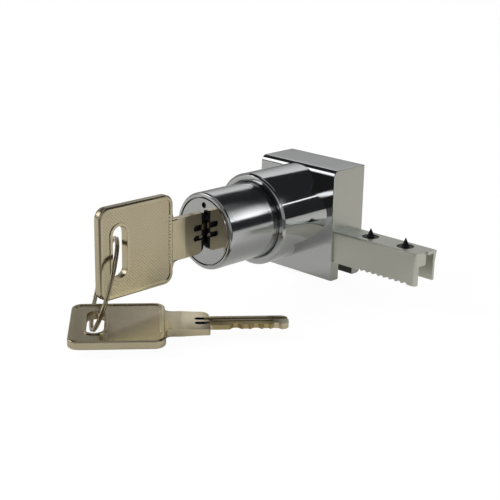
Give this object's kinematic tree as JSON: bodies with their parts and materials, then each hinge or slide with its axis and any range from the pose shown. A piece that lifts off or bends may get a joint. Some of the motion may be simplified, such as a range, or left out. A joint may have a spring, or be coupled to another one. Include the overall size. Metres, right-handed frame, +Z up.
{
  "type": "sliding door push lock",
  "caption": "Push lock for a sliding door: a sprung barrel throws a bolt through a cast block, a toothed arm grips the door rail, and a key on a wire ring turns the plug.",
  "frame": {"origin": "bolt axis in the plane of the block's flat back face", "axes": "+X along the arm, +Y the way the bolt is thrown, out of the back face, +Z up from the foot to the top of the block"},
  "size_m": [0.0511, 0.0827, 0.0295],
  "materials": {
    "chrome_casting": "chrome plated zinc casting",
    "chrome_barrel": "polished chrome plate",
    "black_steel": "black oxide",
    "steel": "bright zinc plate",
    "spring_steel": "drawn wire",
    "brass": "stamped brass",
    "nickel_brass": "nickel plated brass",
    "nickel_wire": "nickel plated wire"
  },
  "bodies": {
    "housing": {"lock_housing": "chrome_casting", "spike_screws": "black_steel", "guide_pin": "steel", "return_spring": "spring_steel"},
    "barrel": {"push_barrel": "chrome_barrel", "bolt_carrier": "steel", "carrier_clip": "spring_steel", "lock_bolt": "steel", "latch_spring": "spring_steel"},
    "plug": {"plug_core": "chrome_barrel", "plug_clip": "spring_steel", "tail_cam": "steel", "wafer_springs": "spring_steel"},
    "wafers": {"wafer_1": "brass", "wafer_2": "brass", "wafer_3": "brass", "wafer_4": "brass", "wafer_5": "brass"},
    "latch": {"side_latch": "steel"},
    "key": {"inserted_key": "nickel_brass"},
    "ring": {"key_ring": "nickel_wire"},
    "spare": {"spare_key": "nickel_brass"}
  },
  "joints": [
    {"name": "barrel_push", "type": "slide", "parent": "housing", "child": "barrel", "axis": [0, 1, 0], "range_m": [0, 0.0075], "stiffness_N_per_m": 500, "springref_m": -0.002, "deforming": ["return_spring"]},
    {"name": "plug_turn", "type": "hinge", "parent": "barrel", "child": "plug", "pos_m": [0, -0.0423, 0], "axis": [0, 1, 0], "range_deg": [0, 90]},
    {"name": "latch_throw", "type": "slide", "parent": "barrel", "child": "latch", "axis": [-1, 0, 0], "range_m": [0, 0.0014], "deforming": ["latch_spring"]},
    {"name": "key_slide", "type": "slide", "parent": "plug", "child": "key", "axis": [0, -1, 0], "range_m": [0, 0.022]},
    {"name": "wafer_drop", "type": "slide", "parent": "plug", "child": "wafers", "axis": [0, 0, -1], "range_m": [0, 0.0008], "deforming": ["wafer_springs"]},
    {"name": "ring_swing", "type": "hinge", "parent": "key", "child": "ring", "pos_m": [0, -0.0674, 0.00109], "axis": [0.684, -0.6315, -0.3651], "range_deg": [-20, 10]},
    {"name": "spare_swing", "type": "hinge", "parent": "ring", "child": "spare", "pos_m": [-0.00061, -0.07326, -0.01533], "axis": [-0.721, 0.274, -0.6365], "range_deg": [-10, 15]}
  ],
  "couplings": [
    {"joint": "latch_throw", "follows": "plug_turn", "m_per_rad": 0.00089},
    {"joint": "wafer_drop", "follows": "key_slide", "ratio": 0.036}
  ]
}
